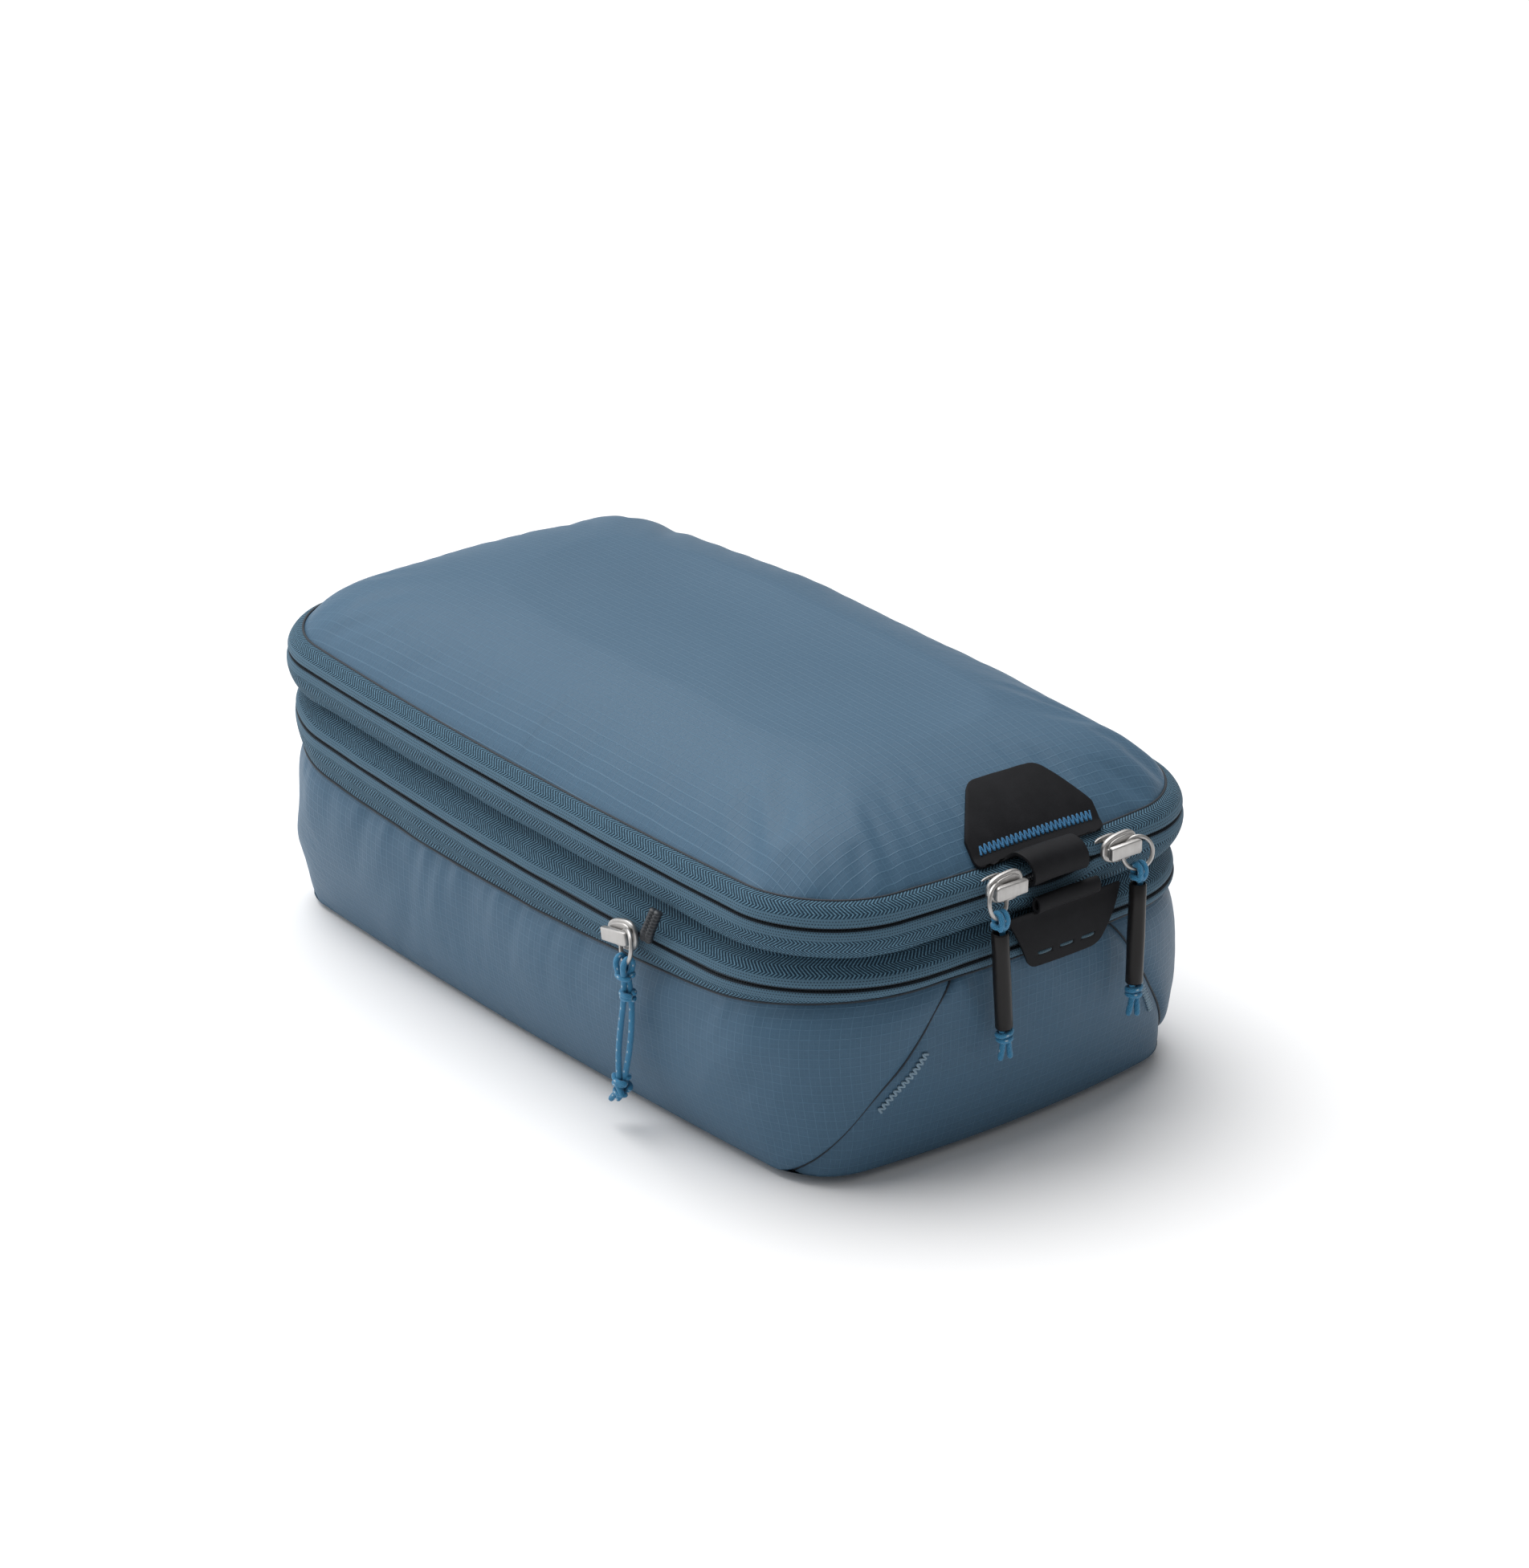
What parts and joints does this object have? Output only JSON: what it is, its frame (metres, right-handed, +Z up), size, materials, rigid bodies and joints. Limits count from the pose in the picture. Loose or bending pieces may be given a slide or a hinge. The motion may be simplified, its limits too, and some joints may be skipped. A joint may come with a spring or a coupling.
{
  "type": "compression packing cube",
  "caption": "Soft zipped packing cube with a hinged lid, a compression zipper round its middle, a side pocket zipper and corded pulls.",
  "frame": {"origin": "middle of the flat base that the cube stands on", "axes": "+Z up, +Y along the length from the front end with the handle tabs to the back end with the lid's hinge, -X the side with the compression slider"},
  "size_m": [0.1684, 0.2875, 0.1],
  "materials": {
    "shell_fabric": "satin ripstop weave",
    "lining_fabric": "plain light lining",
    "zipper_tape": "herringbone woven tape",
    "zipper_coil": "dark nylon coil",
    "black_patch": "matt rubber-faced cloth",
    "slider_metal": "brushed, worn edges",
    "pull_cord": "braided cord with light flecks",
    "pull_tube": "satin shrink tube",
    "blue_thread": "bright stitching thread",
    "binding": "seam binding tape"
  },
  "bodies": {
    "base": {"bottom_panel": "shell_fabric", "left_side_panel": "shell_fabric", "right_side_panel": "shell_fabric", "front_end_panel": "shell_fabric", "back_end_panel": "shell_fabric", "corner_bartacks": "blue_thread", "divider_panel": "lining_fabric", "side_zipper_tapes": "zipper_tape", "side_zipper_coil": "zipper_coil", "side_zipper_stops": "slider_metal", "lower_seam_binding": "binding", "compression_lower_tape": "zipper_tape", "compression_lower_coil": "zipper_coil", "expansion_gusset": "shell_fabric"},
    "band": {"compression_upper_tape": "zipper_tape", "compression_upper_coil": "zipper_coil", "compression_coil_ends": "zipper_coil", "band_seam_binding": "binding", "main_lower_tape": "zipper_tape", "main_lower_coil": "zipper_coil", "lid_hinge_cloth": "shell_fabric", "lower_patch": "black_patch", "lower_tab_roll": "black_patch", "lower_patch_stitches": "blue_thread"},
    "lid": {"lid_panel": "shell_fabric", "main_upper_tape": "zipper_tape", "main_upper_coil": "zipper_coil", "lid_back_facing": "shell_fabric", "lid_seam_binding": "binding", "top_patch": "black_patch", "top_patch_stitching": "blue_thread", "top_tab": "black_patch"},
    "left_slider": {"left_slider_body": "slider_metal", "left_slider_cap": "slider_metal"},
    "left_ring": {"left_pull_ring": "slider_metal"},
    "left_pull": {"left_pull_cord": "pull_cord", "left_pull_tube": "pull_tube", "left_pull_knot": "pull_cord"},
    "right_slider": {"right_slider_body": "slider_metal", "right_slider_cap": "slider_metal"},
    "right_ring": {"right_pull_ring": "slider_metal"},
    "right_pull": {"right_pull_cord": "pull_cord", "right_pull_tube": "pull_tube", "right_pull_knot": "pull_cord"},
    "compression_slider": {"compression_slider_body": "slider_metal", "compression_slider_cap": "slider_metal"},
    "compression_ring": {"compression_pull_ring": "slider_metal"},
    "compression_pull": {"compression_pull_hitch": "pull_cord", "compression_cord_a": "pull_cord", "compression_cord_b": "pull_cord", "compression_pull_knot": "pull_cord", "compression_end_knot": "pull_cord"},
    "side_slider": {"side_slider_body": "slider_metal", "side_slider_cap": "slider_metal"},
    "side_pull": {"side_pull_tab": "slider_metal"}
  },
  "joints": [
    {"name": "band_expand", "type": "slide", "parent": "base", "child": "band", "axis": [0, 0, 1], "range_m": [0, 0.045], "deforming": ["expansion_gusset"]},
    {"name": "lid_open", "type": "hinge", "parent": "band", "child": "lid", "pos_m": [0, 0.1403, 0.081], "axis": [-1, 0, 0], "range_deg": [0, 110]},
    {"name": "left_slider_slide", "type": "slide", "parent": "band", "child": "left_slider", "axis": [1, 0, 0], "range_m": [-0.028, 0]},
    {"name": "right_slider_slide", "type": "slide", "parent": "band", "child": "right_slider", "axis": [1, 0, 0], "range_m": [-0.006, 0.0165]},
    {"name": "compression_slider_slide", "type": "slide", "parent": "base", "child": "compression_slider", "axis": [0, 1, 0], "range_m": [0, 0.15]},
    {"name": "side_slider_slide", "type": "slide", "parent": "base", "child": "side_slider", "axis": [0, 1, 0], "range_m": [0, 0.174]},
    {"name": "left_ring_swing", "type": "hinge", "parent": "left_slider", "child": "left_ring", "pos_m": [-0.01656, -0.1427, 0.081], "axis": [-0.5, 0, 0.866], "range_deg": [0, 35]},
    {"name": "left_pull_swing", "type": "hinge", "parent": "left_ring", "child": "left_pull", "pos_m": [-0.0198, -0.14506, 0.07493], "axis": [-0.9454, -0.3244, 0.0315], "range_deg": [0, 55]},
    {"name": "right_ring_swing", "type": "hinge", "parent": "right_slider", "child": "right_ring", "pos_m": [0.02756, -0.1427, 0.081], "axis": [-0.5, 0, -0.866], "range_deg": [0, 35]},
    {"name": "right_pull_swing", "type": "hinge", "parent": "right_ring", "child": "right_pull", "pos_m": [0.0308, -0.14506, 0.07493], "axis": [-0.9454, 0.3244, -0.0315], "range_deg": [0, 55]},
    {"name": "compression_ring_swing", "type": "hinge", "parent": "compression_slider", "child": "compression_ring", "pos_m": [-0.0827, -0.06325, 0.0582], "axis": [0, 0.3584, -0.9336], "range_deg": [0, 35]},
    {"name": "compression_pull_swing", "type": "hinge", "parent": "compression_ring", "child": "compression_pull", "pos_m": [-0.08506, -0.0674, 0.05271], "axis": [0.3244, 0.9288, -0.179], "range_deg": [0, 55]},
    {"name": "side_pull_swing", "type": "hinge", "parent": "side_slider", "child": "side_pull", "pos_m": [0.07837, -0.09, 0.02159], "axis": [0.1483, 0, 0.9889], "range_deg": [0, 90]}
  ]
}
